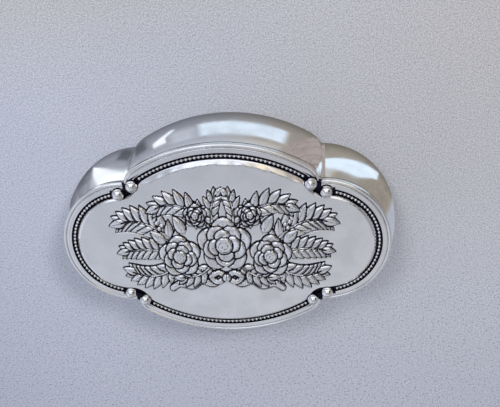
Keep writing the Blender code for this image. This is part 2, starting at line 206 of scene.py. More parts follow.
# %% Paper floor
def flat_sheet(name, size, middle=(0, 0, 0), turn=(0, 0, 0)):
    """A square sheet of the room."""
    bpy.ops.object.select_all(action="DESELECT")
    bpy.ops.mesh.primitive_plane_add(size=size, location=middle, rotation=turn)
    bpy.ops.object.transform_apply(location=True, rotation=True, scale=True)
    bpy.context.object.name = name
    return bpy.context.object


floor = flat_sheet("paper_floor", 6.0)
place, shader, paper = start_material("speckled_paper")
across, along = place.part("X"), place.part("Y")
speckle, fleck, cloud = place.noise(2300.0, 3.0), place.noise(1250.0, 2.0), place.noise(6.0, 1.0)
near = along.ramp(-0.11, 0.02, 1.0, 0.35)
tone = speckle.ramp(0.32, 0.68, 0.74, 1.22) * cloud.ramp(0.3, 0.7, 0.97, 1.03)
tone = tone * (1 - fleck.ramp(0.57, 0.66) * near * 0.42)
# Painted light on the paper: it is painted darker away from the box, warm to the right and behind the
# box, and cool blue in front and to the left.
painted_light_falloff = across.reach(along * 1.1 - 0.005).ramp(0.07, 0.22, 1.0, 0.86)
painted_warm_light_right = across.ramp(-0.12, 0.12) * along.ramp(-0.10, 0.09, 0.25, 1.0)
painted_warm_light = painted_warm_light_right.most(along.ramp(0.02, 0.10))
paper_in_cool_light, paper_in_warm_light = (0.455, 0.480, 0.560, 1.0), (0.462, 0.450, 0.450, 1.0)
feed(shader, "Base Color", painted_warm_light.mix(paper_in_cool_light, paper_in_warm_light).lit(tone * painted_light_falloff))
feed(shader, "Roughness", 0.9)
feed(shader, "Specular IOR Level", 0.1)
floor.data.materials.append(paper)
print("the paper is", floor.dimensions[0], "metres wide")

# %% [markdown]
# What the bulging wall reflects lies on the table close round it: dark next to
# the wall, then a pale blue window for each of the three lobes that show, and
# grey beyond. A card that only polished metal can see carries these tones. It
# is painted by distance from the wall and by turn round each lobe, so it is a
# thing in the room, and stays in place when the camera moves. The sizes of the
# lobes come first, in millimetres, because the card, the outline of every
# piece and the dark hollows at the creases are all measured from them.

# %% Reflected card round the wall
long_radius_mm, long_back_mm = 48.63, 18.58
end_radius_mm, end_out_mm = 17.72, 31.28
rim_mm, long_swell_mm, end_swell_mm = 3.65, 1.75, 2.55
long_girth_mm = long_radius_mm + rim_mm + long_swell_mm
end_girth_mm = end_radius_mm + rim_mm + end_swell_mm

mirror_card = flat_sheet("reflected_card", 0.34, (0, 0, 0.3 * mm))
place, shader, tones = start_material("reflected_tones")
across, along = place.part("X") * 1000.0, place.part("Y") * 1000.0


def lobe_view(across, along, middle_x, middle_y, girth_radius):
    """Millimetres outside a lobe of the wall, and degrees round it from +Y towards +X."""
    from_x, from_y = across - middle_x, along - middle_y
    beyond = from_x.reach(from_y) - girth_radius
    turn = from_x.maths("ARCTAN2", from_x, from_y) * math.degrees(1)
    return beyond, turn


def only_in_metal(card, shader, material, light):
    """Paints a card with light that nothing but metal shows."""
    feed(shader, "Base Color", (0.0, 0.0, 0.0, 1.0))
    feed(shader, "Specular IOR Level", 0.0)
    feed(shader, "Emission Color", light)
    feed(shader, "Emission Strength", 1.0)
    card.data.materials.append(material)
    card.visible_camera = False
    card.visible_diffuse = False
    card.visible_transmission = False
    card.visible_shadow = False


back_out, back_turn = lobe_view(across, along, 0.0, -long_back_mm, long_girth_mm)
front_out, _ = lobe_view(across, along, 0.0, long_back_mm, long_girth_mm)
left_out, left_turn = lobe_view(across, along, -end_out_mm, 0.0, end_girth_mm)
right_out, right_turn = lobe_view(across, along, end_out_mm, 0.0, end_girth_mm)
behind = along.ramp(-1.0, 1.0)
long_out = back_out * behind + front_out * (1 - behind)
outside = long_out.least(left_out, right_out)
print("the wall's widest radii are", round(long_girth_mm, 2), "and", round(end_girth_mm, 2), "mm")

# %% [markdown]
# Each tone on the card is a band in distance and in turn with soft edges, and
# its numbers are millimetres out from the wall and degrees round its lobe. The
# brightest wins where bands overlap. The left-hand window slants, the
# right-hand one narrows towards its end, and noise breaks the dark parts into
# smoke on the left and rings on the right. At the front the card is as pale as
# the paper.

# %% Tones of the reflected card
far_side = behind * across.ramp(38.0, 50.0, 1.0, 0.0)
far_table = back_out.ramp(16.0, 22.0, 0.0, 0.10) + back_out.ramp(24.0, 29.0, 0.0, 0.14)
far_line = back_out.within(21.6, 23.6, 0.6) * 0.10
# Painted shade in the reflection: the table is darkest next to the wall, where the box shades it.
table = outside.ramp(0.0, 9.0, 0.17, 0.30) + (far_table - far_line) * far_side
back_window = back_turn.within(-13.0, 25.0, 3.0) * back_out.within(7.6, 20.6, 0.7)
tail_middle = -29.8 + (14.0 - back_out).ramp(1.5, 8.0, 0.0, 6.8)
tail = (back_out.ramp(7.0, 13.0, 1.6, 3.2) - (back_turn - tail_middle).size()).ramp(-0.8, 0.8)
tail = tail * back_out.within(6.6, 17.5, 1.2)
haze = back_turn.within(-25.0, -13.0, 3.0) * back_out.within(9.5, 22.0, 3.0)
spot = back_turn.within(-42.0, -35.5, 1.5) * back_out.within(4.0, 14.0, 2.5)
left_near = (left_turn + 50.0) * 0.72 + 6.0
left_window = (left_out - left_near).ramp(-1.0, 1.0) * left_turn.within(-51.0, -10.0, 2.0)
left_window = left_window * (left_out - left_turn * 3.5).ramp(190.0, 197.0, 1.0, 0.0)
right_near = 14.0 - (right_turn - 12.0) * 0.2
right_far = 31.0 - (right_turn - 35.0).ramp(0.0, 31.0) * 19.0
right_window = right_turn.within(3.0, 63.0, 2.0) * (right_out - right_near).ramp(-0.7, 0.7)
right_window = right_window * (right_out - right_far).ramp(-1.2, 1.2, 1.0, 0.0)
smoke = place.noise(110.0, 3.0).ramp(0.35, 0.65, 0.30, 0.55)
left_dark = left_turn.within(-89.0, -53.0, 2.5) * smoke
rings = (place.noise(60.0, 1.0) * 12.0).fraction().within(0.35, 0.55, 0.12)
right_rings = rings * right_turn.within(44.0, 88.0, 3.0) * outside.ramp(1.0, 4.0)
level = table * (1 - spot * 0.60) * (1 - left_dark) * (1 - right_rings * 0.42) + haze * 0.22
level = level.most(back_window * 0.86, tail * 1.05, left_window * 1.12, right_window * 0.93)
paper = right_turn.ramp(87.0, 95.0).most(left_turn.ramp(-95.0, -88.0, 1.0, 0.0))
level = level + paper * (0.47 - level)
warm = across.ramp(-28.0, 40.0).mix((0.94, 1.0, 1.22, 1.0), (1.09, 1.0, 0.88, 1.0))
pane = across.ramp(-35.0, -15.0).mix((0.94, 1.0, 1.08, 1.0), (0.86, 1.0, 1.17, 1.0))
window_tint = level.ramp(0.40, 0.7).mix(warm, pane)
window_tint = haze.most(paper).mix(window_tint, (0.93, 1.0, 1.16, 1.0))
only_in_metal(mirror_card, shader, tones, window_tint.lit(level))
print("card", [round(side / mm) for side in mirror_card.dimensions[:2]], "mm")

# %% [markdown]
# The back lobe's right-hand end shows no window but something warm and grey
# with brown swirls, although it looks at the same part of the table as the
# next lobe does. So a second small card stands upright between them, behind
# the crease. It is clear when seen from its front, through Geometry's
# Backfacing, so only the back lobe's end sees it.

# %% Upright card behind the right-hand crease
side_card_mm = (32.4, 54.0, 30.0)
side_card = flat_sheet("reflected_side_card", 0.06, Vector(side_card_mm) * mm, (0, math.pi / 2, 0))
place, shader, swirls = start_material("reflected_swirls")
stretched = place.node("ShaderNodeMapping", sockets={"Vector": place, "Scale": (1.0, 0.6, 1.5)})
swirl = (stretched.noise(70.0, 1.0) * 9.0).fraction().within(0.35, 0.60, 0.12)
warm_light = swirl.mix((0.40, 0.355, 0.345, 1.0), (0.26, 0.215, 0.205, 1.0))
only_in_metal(side_card, shader, swirls, warm_light)
feed(shader, "Alpha", place.node("ShaderNodeNewGeometry", output="Backfacing"))
print("the upright card stands at", side_card_mm[0], "mm")

# %% [markdown]
# The sky of the studio is grey, paler on the left, and darker on the right and
# low in front. From overhead down towards the back it holds a dark belt, a
# bright window with a patch of cream light beside it, and a pale part down to
# the horizon. It could be a photograph of a room. Here it is painted by
# direction, which needs no file and gives the cover clean reflections without
# noise. Two soft lamps behind the box add the direction that the shadow on the
# paper needs. The silver doesn't mirror them, because they would show in it as
# white discs.

# %% Studio sky and lamps
world = bpy.data.worlds.new("studio")
world.use_nodes = True
bpy.context.scene.world = world
aim = Wire(world.node_tree).node("ShaderNodeTexCoord", output="Generated")
aim_x, aim_y, aim_z = aim.part("X"), aim.part("Y"), aim.part("Z")
front_grey = aim_y.ramp(-0.65, -0.30, 0.56, 0.45) - aim_y.ramp(-0.95, -0.68, 0.34, 0.0)
sides = aim_x.ramp(-0.75, -0.30, 0.24, 0.0) - aim_x.ramp(0.20, 0.60, 0.0, 0.17)
frame_dark = aim_y.within(0.03, 0.21, 0.04) * aim_x.within(-0.75, 0.55, 0.15)
band = aim_y.within(0.25, 0.62, 0.03)
window = band * aim_x.within(-0.45, -0.02, 0.06)
cream_light = band * aim_x.within(0.13, 0.54, 0.05)
beyond = aim_y.ramp(0.0, 0.9, 0.0, 0.12) + aim_y.ramp(0.63, 0.74, 0.0, 0.62)
upper = aim_z.ramp(0.0, 0.30)
below = 0.38
tint = aim_x.ramp(-0.5, 0.4).mix((0.93, 1.0, 1.17, 1.0), (1.01, 1.015, 1.09, 1.0))
tint = (cream_light * upper).mix(tint, (1.13, 1.0, 0.74, 1.0))
level = front_grey + sides + beyond - frame_dark * upper * 0.24
level = level + (window * 1.20 + cream_light * 0.88 - band * 0.36) * upper
level = level * upper + (1 - upper) * below
feed(world.node_tree.nodes["Background"], "Color", tint.lit(level))

lamps = (("key_lamp", 0.26, 4.3, (-0.22, 0.68, 1.00)),
         ("second_lamp", 0.20, 5.6, (0.46, 0.68, 0.92)))
for name, size, energy, place in lamps:
    lamp_data = bpy.data.lights.new(name, "AREA")
    lamp_data.shape = "DISK"
    lamp_data.size = size
    lamp_data.energy = energy
    lamp = bpy.data.objects.new(name, lamp_data)
    lamp.visible_glossy = False
    bpy.context.scene.collection.objects.link(lamp)
    lamp.location = place
    lamp.rotation_euler = (-lamp.location).to_track_quat("-Z", "Y").to_euler()
print("a sky and", len(lamps), "lamps")

# %% [markdown]
# ## The outline of four arcs
#
# Seen from above the box is a quatrefoil: two wide arcs at the back and the
# front, rounded off at their corners, two tight ones at the ends, and four
# creases where they meet. Every edge on the box is this outline moved in or
# out, so one helper gives a ring of points for any offset from the line of
# beads. Points that share a place in two rings lie opposite each other, which
# lets one ring be drawn out into the next.

# %% Rings of points
end_arc_radius, long_arc_radius = end_radius_mm * mm, long_radius_mm * mm
end_middle = np.array((end_out_mm, 0.0)) * mm
long_middle = np.array((0.0, -long_back_mm)) * mm
land_height = 34.0 * mm
corner_radius, least_corner = 3.0 * mm, 0.3 * mm
corner_turn = math.radians(90 - 31.5)
crease_at_beads = 4.15 * mm


def on_arc(middle, radius, turns):
    """Points at some turns round a middle."""
    return np.stack((middle[0] + radius * np.cos(turns), middle[1] + radius * np.sin(turns)), axis=1)


def lobe_corner(long_offset, softer=0.0):
    """Middle and radius of the arc that rounds off a long lobe beside the crease."""
    radius = max(least_corner, corner_radius + long_offset) + softer
    reach = long_arc_radius + long_offset - radius
    return on_arc(long_middle, reach, np.array([corner_turn]))[0], radius


def crease_middle(corner, corner_reach, end_reach):
    """Where the small hollow arc between a long lobe and an end lobe has its middle."""
    towards = corner - end_middle
    apart = math.hypot(*towards)
    towards = towards / apart
    along = (end_reach ** 2 - corner_reach ** 2 + apart ** 2) / (2 * apart)
    aside = math.sqrt(end_reach ** 2 - along ** 2)
    return end_middle + towards * along + np.array((towards[1], -towards[0])) * aside


def outline(long_offset, end_offset, crease, shares, softer=0.0):
    """One ring, anticlockwise from the middle of the right-hand end.

    shares says where the points lie along the end arc, the crease, the lobe's
    corner and the long arc.
    """
    end_reach = end_arc_radius + end_offset
    corner, radius = lobe_corner(long_offset, softer)
    middle = crease_middle(corner, radius + crease, end_reach + crease)
    end_turn = math.atan2(middle[1] - end_middle[1], middle[0] - end_middle[0])
    from_turn = math.atan2(middle[1] - corner[1], middle[0] - corner[0])
    on_end, in_crease, on_corner, on_long = shares
    long_reach = long_arc_radius + long_offset
    quarter = np.concatenate((
        on_arc(end_middle, end_reach, end_turn * on_end),
        on_arc(middle, crease, end_turn + math.pi + (from_turn - end_turn) * in_crease),
        on_arc(corner, radius, from_turn + (corner_turn - from_turn) * on_corner),
        on_arc(long_middle, long_reach, corner_turn + (math.pi / 2 - corner_turn) * on_long)))
    top = np.array([(0.0, long_middle[1] + long_reach)])
    half = np.concatenate((quarter, top, quarter[::-1] * (-1, 1)))
    return np.concatenate((half, half[1:-1][::-1] * (1, -1)))


def parallel_crease(offset):
    """The crease radius that keeps a ring of the cover parallel to its rim."""
    return crease_at_beads - offset


def steps(start, end, count):
    """Even shares without the last one."""
    return start + (end - start) * np.arange(count) / count


def at_height(points, height):
    """The ring's points, all at one height."""
    return np.column_stack((points, np.full(len(points), height)))


plain_shares = (steps(0, 1, 26), steps(0, 1, 8), steps(0, 1, 8), steps(0, 1, 22))
print("a plain ring has", len(outline(0, 0, parallel_crease(0), plain_shares)), "points")

# %% [markdown]
# ## Drawing out a ring
#
# A piece of sheet metal of this kind is one section carried round the outline.
# In Blender that is a loop of edges, extruded again and again, where each new
# loop is moved to the next line of the section. A vertex remembers its place
# in the ring in an attribute that the extrusion copies, so the new loop can be
# set exactly, and a second attribute says how dark the metal is there, with
# oxide and with painted shade.

# %% Extrude a loop through a section
def start_ring(name, points):
    """A circle with one corner for each point of the ring, moved onto the ring."""
    bpy.ops.object.select_all(action="DESELECT")
    bpy.ops.mesh.primitive_circle_add(vertices=len(points), radius=1.0)
    piece = bpy.context.object
    piece.name = piece.data.name = name
    piece.data.attributes.new("oxide_and_shade", "FLOAT", "POINT")
    place = piece.data.attributes.new("place", "INT", "POINT")
    for vertex in piece.data.vertices:
        turn = math.atan2(vertex.co.y, vertex.co.x) / (2 * math.pi)
        number = round(turn * len(points)) % len(points)
        place.data[vertex.index].value = number
        vertex.co = points[number]
    bpy.ops.object.mode_set(mode="EDIT")
    bpy.ops.mesh.select_all(action="SELECT")
    return piece


def draw_out(piece, rings, oxide_and_shade_levels=None):
    """Extrudes the selected loop once for each ring."""
    for number, points in enumerate(rings):
        bpy.ops.mesh.extrude_region_move()
        made = bmesh.from_edit_mesh(piece.data)
        place = made.verts.layers.int["place"]
        dark = made.verts.layers.float["oxide_and_shade"]
        for vertex in made.verts:
            if vertex.select:
                vertex.co = points[vertex[place]]
                vertex[dark] = oxide_and_shade_levels[number] if oxide_and_shade_levels else 0.0
        bmesh.update_edit_mesh(piece.data)


def close_loop():
    """Closes the selected open loop with one face, and leaves it selected."""
    bpy.ops.mesh.edge_face_add()


def finish_shape(piece, smooth_deg=35.0):
    """Merges the seam, turns the faces outwards and shades the round parts smooth."""
    bpy.ops.mesh.select_all(action="SELECT")
    bpy.ops.mesh.remove_doubles(threshold=0.002 * mm)
    bpy.ops.mesh.normals_make_consistent(inside=False)
    bpy.ops.object.mode_set(mode="OBJECT")
    bpy.ops.object.shade_smooth_by_angle(angle=math.radians(smooth_deg))
    print(piece.name, "has", len(piece.data.polygons), "faces")


def place_piece(piece, body, slot, material, *stands_for):
    """Gives the piece its finish, its body and the nodes that it stands for."""
    piece.data.materials.clear()
    piece.data.materials.append(material)
    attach(piece, body)
    if stands_for:
        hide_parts(*stands_for)


print("a section can be carried round a ring")

# %% [markdown]
# ## Raised roses and leaves
# Silver panels of this kind are pushed up from behind and then chased from the
# front: petals and leaves overlap, and the deep lines between them hold black
# oxide and shade. Such work could be sculpted by hand. Here it is laid down in
# code, one petal or leaf at a time like paper cut-outs, and each one also
# darkens a narrow line round itself and along its own rim: painted shade where
# it stands over what lies under it. The work is the same on the left and the
# right, so it is written once, in millimetres, for the right half.

# %% Laying one form over another
class Relief:
    """A height and a darkness for every point of the panel, in millimetres."""

    def __init__(self, x, y):
        self.x = x
        self.y = y
        self.height = np.zeros_like(x)
        self.dark = np.zeros_like(x)


def smooth(share):
    """A share from 0 to 1, eased at both ends."""
    share = np.clip(share, 0, 1)
    return share * share * (3 - 2 * share)


def lay(relief, inside, form, lines=0.0, gap=0.52, sink=0.24):
    """Lays one form over what is there; inside is the distance in from its edge."""
    # Painted shade: a dark line just outside the form, where it stands over what lies under it, and a
    # dark band along its own rim.
    near = smooth(1.15 + inside / gap) * (inside < 0)
    relief.dark = np.maximum(relief.dark, near)
    relief.height = relief.height - sink * near
    edge = smooth(inside / 0.32)
    on = inside >= 0
    relief.height = np.where(on, form * (0.35 + 0.65 * edge), relief.height)
    covered = np.maximum(lines, 0.75 * (1 - smooth(inside / 0.20)))
    relief.dark = np.where(on, covered, relief.dark)


def turned(relief, x, y, degrees, mirror=True):
    """The panel's points, seen from x, y with the first axis along degrees."""
    turn = math.radians(degrees)
    from_x = (np.abs(relief.x) if mirror else relief.x) - x
    from_y = relief.y - y
    return (from_x * math.cos(turn) + from_y * math.sin(turn),
            from_y * math.cos(turn) - from_x * math.sin(turn))


def strokes(across, spacing, width):
    """Chased lines of a width, a spacing apart."""
    away = np.abs((across / spacing + 0.5) % 1 - 0.5) * spacing
    return 1 - smooth(away / width)


print("forms can be laid over each other")

# %% [markdown]
# A rose is three rings of petals round a rolled heart. A petal is narrow where
# it starts, curls up at its rim and carries a fan of chased lines.

# %% Petals and roses
def petal(relief, x, y, degrees, reach, wide, low, high, mirror=True):
    """A rose petal that starts at x, y and points along degrees."""
    ahead, aside = turned(relief, x, y, degrees, mirror)
    share = np.clip(ahead / reach, 0, 1)
    half_long, half_wide = 0.617 * reach, wide * (0.55 + 0.45 * np.sqrt(share))
    from_middle = ahead - 0.383 * reach
    oval = np.hypot(from_middle / half_long, aside / half_wide)
    steep = np.hypot(from_middle / half_long ** 2, aside / half_wide ** 2) + 1e-6
    ripple = 0.07 * np.cos(aside * 6.6 / wide) * smooth(2 * share - 1)
    inside = oval * (1 - oval) / steep + ripple
    curl = np.exp(-((inside - 0.75) / 0.55) ** 2)
    fan = strokes(aside / (0.3 + share * wide), 0.40, 0.075)
    lines = 0.9 * fan * smooth((inside - 0.35) / 0.3) * smooth((share - 0.25) / 0.2)
    lines = lines * smooth((0.93 - share) / 0.2)
    form = low + (high - low) * (0.15 + 0.85 * share ** 1.3) + 0.22 * curl - 0.10 * lines
    lay(relief, inside, form, 0.75 * lines)


def heart(relief, x, y, size, top, mirror=True):
    """The rolled heart of a rose: a dome with a spiral line."""
    ahead, aside = turned(relief, x, y, 0, mirror)
    away = np.hypot(ahead, aside)
    wound = away - np.arctan2(aside, ahead) / (2 * math.pi) * size * 0.42
    lines = strokes(wound, size * 0.42, 0.13 + 0.02 * size)
    lines = lines * smooth((size - away - 0.15) / 0.2) * smooth(away / 0.25)
    dome = np.sqrt(np.clip(1 - (away / size) ** 2, 0, 1))
    lay(relief, size - away, top * (0.80 + 0.20 * dome) - 0.18 * lines, lines)


petal_rings = ((5, 1.0, 0.56, 0.50, 0), (5, 0.78, 0.44, 0.68, 36), (4, 0.56, 0.36, 0.84, 10))


def rose(relief, x, y, size, mirror=True, turn=0.0, top=1.6):
    """Rings of petals from the outside in, and the heart on top."""
    for count, reach, wide, lift, offset in petal_rings:
        for number in range(count):
            degrees = turn + offset + 360 * number / count
            start_x = x + 0.06 * size * math.cos(math.radians(degrees))
            start_y = y + 0.06 * size * math.sin(math.radians(degrees))
            petal(relief, start_x, start_y, degrees, reach * size, wide * size,
                  top * lift * 0.55, top * lift, mirror)
    heart(relief, x, y, 0.33 * size, top * 0.95, mirror)


print("a rose has", sum(ring[0] for ring in petal_rings), "petals")

# %% [markdown]
# A leaf is pointed, domed across its rib and veined. A long curled leaf is a
# row of small ones in pairs, laid from its tip back, with the stem over them.

# %% Leaves, stems, ribbon and berries
def bend(path, share):
    """A point on the curve that three points bend."""
    start, middle, end = np.array(path, float)
    return ((1 - share) ** 2 * start + 2 * share * (1 - share) * middle + share ** 2 * end)


def leaf(relief, x, y, degrees, reach, wide, high, veins):
    """A pointed leaf that starts at x, y and points along degrees."""
    ahead, aside = turned(relief, x, y, degrees)
    share = np.clip(ahead / reach, 0, 1)
    half = wide * np.sin(np.pi * share ** 0.75) ** 0.9
    beyond = np.hypot(np.where(ahead < 0, ahead, ahead - reach), aside)
    inside = np.where((ahead > 0) & (ahead < reach), (half - np.abs(aside)) * 0.93, -beyond)
    rib = 1 - smooth(np.abs(aside) / 0.16)
    side = strokes(ahead - np.abs(aside) * 1.15, reach / (veins + 1), 0.14)
    side = side * smooth(np.abs(aside) / 0.3)
    lines = np.maximum(rib * 0.9, side * 0.75)
    lines = lines * smooth((inside - 0.12) / 0.2) * smooth((0.95 - share) / 0.1)
    dome = np.sqrt(np.clip(1 - (np.abs(aside) / np.maximum(half, 0.01)) ** 2, 0, 1))
    swell = 0.55 + 0.45 * np.sin(np.pi * share ** 0.6)
    lay(relief, inside, high * (0.45 + 0.55 * dome) * swell - 0.14 * lines, lines, 0.44)


def stem(relief, path, width, high):
    """A round rib along a bent line, thinner towards its end."""
    inside = np.full_like(relief.x, -9.0)
    for share in np.linspace(0, 1, 60):
        x, y = bend(path, share)
        away = width * (1 - 0.75 * share) - np.hypot(np.abs(relief.x) - x, relief.y - y)
        inside = np.maximum(inside, away)
    form = high * (0.75 + 0.25 * np.sqrt(np.clip(inside / width, 0, 1)))
    lay(relief, inside, form, 0.0, 0.26)


def curled_leaf(relief, path, wide, high, lobes):
    """Small leaves in pairs along a bent line, one at its tip, and the stem."""
    for number in range(lobes):
        share = 1 - (number + 0.6) / lobes
        here = bend(path, share)
        run = bend(path, min(1, share + 0.02)) - here
        heading = math.degrees(math.atan2(run[1], run[0]))
        swell = math.sin(math.pi * (0.16 + 0.74 * share)) ** 0.8
        for side in (1, -1):
            leaf(relief, here[0], here[1], heading + side * (48 - 16 * share),
                 wide * (0.45 + swell), wide * 0.26 * (0.6 + 0.6 * swell),
                 high * (0.7 + 0.3 * swell), veins=0)
    tip, before = bend(path, 1), bend(path, 0.93)
    heading = math.degrees(math.atan2(tip[1] - before[1], tip[0] - before[0]))
    leaf(relief, before[0], before[1], heading, wide * 1.15, wide * 0.30, high * 0.8, veins=0)
    stem(relief, path, 0.42, high * 1.05)


def through(points, share):
    """A point on a smooth line through all the points."""
    place = min(share * (len(points) - 1), len(points) - 1 - 1e-6)
    first = int(place)
    part = place - first
    before, here = points[max(first - 1, 0)], points[first]
    after, last = points[first + 1], points[min(first + 2, len(points) - 1)]
    return 0.5 * (2 * here + (after - before) * part
                  + (2 * before - 5 * here + 4 * after - last) * part ** 2
                  + (3 * here - before - 3 * after + last) * part ** 3)


def ribbon(relief, points, width, high):
    """A flat waving band with two chased edge lines."""
    points = np.array(points, float)
    nearest = np.full_like(relief.x, 99.0)
    across = np.zeros_like(relief.x)
    along = np.zeros_like(relief.x)
    for share in np.linspace(0, 1, 91):
        middle = through(points, share)
        run = through(points, min(1, share + 0.01)) - through(points, max(0, share - 0.01))
        run = run / (math.hypot(*run) + 1e-9)
        from_x, from_y = np.abs(relief.x) - middle[0], relief.y - middle[1]
        away = np.hypot(from_x, from_y)
        closer = away < nearest
        nearest = np.where(closer, away, nearest)
        across = np.where(closer, from_y * run[0] - from_x * run[1], across)
        along = np.where(closer, share, along)
    inside = width / 2 - nearest
    fold = 0.5 + 0.5 * np.cos(along * 5 * math.pi)
    lines = 0.8 * strokes(across, width * 0.34, 0.12) * smooth((inside - 0.15) / 0.1)
    lay(relief, inside, high * (0.6 + 0.4 * fold) - 0.1 * lines, lines)


def berry(relief, x, y, size, high):
    """A round berry."""
    ahead, aside = turned(relief, x, y, 0)
    away = np.hypot(ahead, aside)
    dome = np.sqrt(np.clip(1 - (away / size) ** 2, 0, 1))
    lay(relief, size - away, high * (0.5 + 0.5 * dome), 0.0, 0.28)


print("leaves, stems, ribbon and berries can be laid")

# %% [markdown]
# The whole design runs from the back to the front: ribbon and long leaves
# first, then small leaves and buds, and the three large roses last.

# %% The design on the panel
curled_leaves = (
    (((15, 0), (23, 10.5), (32.5, 8)), 4.8, 1.05, 9),
    (((15, -5), (22, -11.8), (30.5, -8.0)), 4.2, 1.0, 8),
    (((16, -2), (24, 0.5), (32, -1.2)), 3.8, 1.0, 8),
    (((4, 6), (12, 16.5), (21, 12.5)), 4.2, 1.0, 7),
    (((3, 7), (4.5, 13), (1.5, 16.5)), 3.0, 0.9, 5),
    (((5, -6), (8, -10), (14.5, -10.0)), 3.4, 0.95, 5))
ribbon_tail = ((1.0, -9.5), (4.5, -12.2), (8.2, -11.2),
               (11.5, -13.0), (15.5, -12.2), (18.0, -13.6))
bow_loop = ((0.4, -9.6), (2.6, -8.4), (5.0, -9.6), (3.2, -11.4), (0.4, -10.2))
berries = ((19.6, 7.2), (21.0, 8.0), (20.4, 6.2))


def design(x, y):
    """Roses, buds, long leaves and a bow. x and y are in millimetres."""
    relief = Relief(x, y)
    ribbon(relief, ribbon_tail, 2.0, 0.75)
    for path, wide, high, lobes in curled_leaves:
        curled_leaf(relief, path, wide, high, lobes)
    leaf(relief, 12.5, 4.5, 60, 6.5, 1.7, 1.1, veins=4)
    leaf(relief, 19.0, 1.5, 42, 6.0, 1.6, 1.0, veins=4)
    for degrees in (-40, 40, 140, 220, 270, 90):
        leaf(relief, 8.6, 10.2, degrees, 4.3, 1.2, 0.9, veins=0)
    rose(relief, 8.6, 10.2, 3.5, turn=20, top=1.35)
    for berry_x, berry_y in berries:
        berry(relief, berry_x, berry_y, 0.75, 1.0)
    rose(relief, 14.6, -2.8, 6.4, turn=14, top=1.6)
    rose(relief, 0.0, 0.8, 8.2, mirror=False, turn=90, top=1.75)
    ribbon(relief, bow_loop, 1.7, 1.1)
    ahead, aside = turned(relief, 0, -9.9, 0, False)
    knot = np.hypot(ahead * 0.9, aside)
    lay(relief, 1.25 - knot, 1.45 - 0.1 * knot, 0.8 * strokes(ahead, 0.8, 0.12))
    return relief


print("the design has", len(curled_leaves), "long leaves on each half")

# %% [markdown]
# ## The cover
#
# The cover is one stamped sheet. Its panel is a surface with fine detail all
# over, which needs an even net of small faces, and its edge is a section
# carried round the outline. So it starts as a grid whose corners are moved to
# fill the quatrefoil, and the border of that grid is then drawn out through
# the channel, the land, the groove, the rolled edge and the skirt.

# %% The grid that becomes the panel
end_fine, end_coarse, end_tip, in_crease, on_corner, on_long = 68, 28, 24, 22, 12, 100
corner_share = 0.53
cover_shares = (
    np.concatenate((steps(0, 0.33, end_fine), steps(0.33, corner_share, end_coarse),
                    corner_share + (1 - corner_share) * (1 - (1 - steps(0, 1, end_tip)) ** 1.6))),
    steps(0, 1, in_crease), steps(0, 1, on_corner), steps(0, 1, on_long))
cells_y = 2 * (end_fine + end_coarse)
cells_x = 2 * (end_tip + in_crease + on_corner + on_long)
panel_edge, soft_edge, soft_crease = -1.0 * mm, 3.5 * mm, 0.13


def cover_ring(offset, height, softer=0.0):
    """A ring of the cover, at an offset from the line of beads and a height over the land."""
    crease = parallel_crease(offset) + soft_crease * softer
    points = outline(offset, offset, crease, cover_shares, softer)
    return at_height(points, land_height + height)


edge = cover_ring(panel_edge, 0.0, soft_edge)
half_y = cells_y // 2
top_side = edge[half_y + cells_x - np.arange(cells_x + 1)]
right_side = edge[(np.arange(cells_y + 1) - half_y) % len(edge)]
corner_x, corner_y = edge[half_y][:2]

bpy.ops.object.select_all(action="DESELECT")
bpy.ops.mesh.primitive_grid_add(x_subdivisions=cells_x, y_subdivisions=cells_y, size=2.0)
cover = bpy.context.object
cover.name = cover.data.name = "cover_of_silver"
flat = np.empty(3 * len(cover.data.vertices))
cover.data.vertices.foreach_get("co", flat)
flat = flat.reshape(-1, 3)
column = np.round((flat[:, 0] + 1) / 2 * cells_x).astype(int)
row = np.round((flat[:, 1] + 1) / 2 * cells_y).astype(int)
net_x = top_side[column, 0] * right_side[row, 0] / corner_x
net_y = top_side[column, 1] * right_side[row, 1] / corner_y
print("the panel's net has", len(net_x), "points")

# %% [markdown]
# The panel rises over a soft shoulder and is slightly crowned. The relief
# stands on that, and its darkness, oxide with painted shade, goes into the
# attribute that the finish reads. So does a painted dark reflection: a line
# along the top of the shoulder on the back lobe.

# %% Heights and oxide of the panel
panel_rise, panel_crown = 0.8 * mm, 0.4 * mm
half_long, half_wide = 49.0 * mm, 30.05 * mm
design_drop, design_stretch = 0.8, 1.12
behind = smooth((net_y / mm - 17) / 5) * smooth((27 - np.abs(net_x / mm)) / 6)
wander = 0.14 * np.sin(0.6 * net_x / mm) + 0.10 * np.sin(1.4 * net_x / mm + 1)
shoulder_wide = (0.65 + (0.85 + wander) * behind) * mm
highest_relief = 1.58
relief = design(net_x / mm, (net_y / mm + design_drop) / design_stretch)
border = KDTree(len(edge))
for number, corner in enumerate(edge):
    border.insert((corner[0], corner[1], 0.0), number)
border.balance()
inwards = np.array([border.find((x, y, 0.0))[2] for x, y in zip(net_x, net_y)])
slope = np.clip(inwards / shoulder_wide, 0, 1)
shoulder = panel_rise * (0.8 * slope + 0.2 * np.sin(slope * math.pi / 2))
# A painted dark reflection along the top of the back shoulder, with a slight dip in height.
top_line = behind * (1 - smooth(np.abs(inwards - shoulder_wide - 0.10 * mm) / (0.26 * mm)))
away = np.clip(np.hypot(net_x / half_long, net_y / half_wide), 0, 1)
crown = panel_crown * (1 - away ** 2) * slope
raised = np.clip(relief.height * 0.9, -0.45, highest_relief) * mm
heights = land_height + shoulder + crown + raised - 0.05 * mm * top_line
cover.data.vertices.foreach_set("co", np.column_stack((net_x, net_y, heights)).ravel())

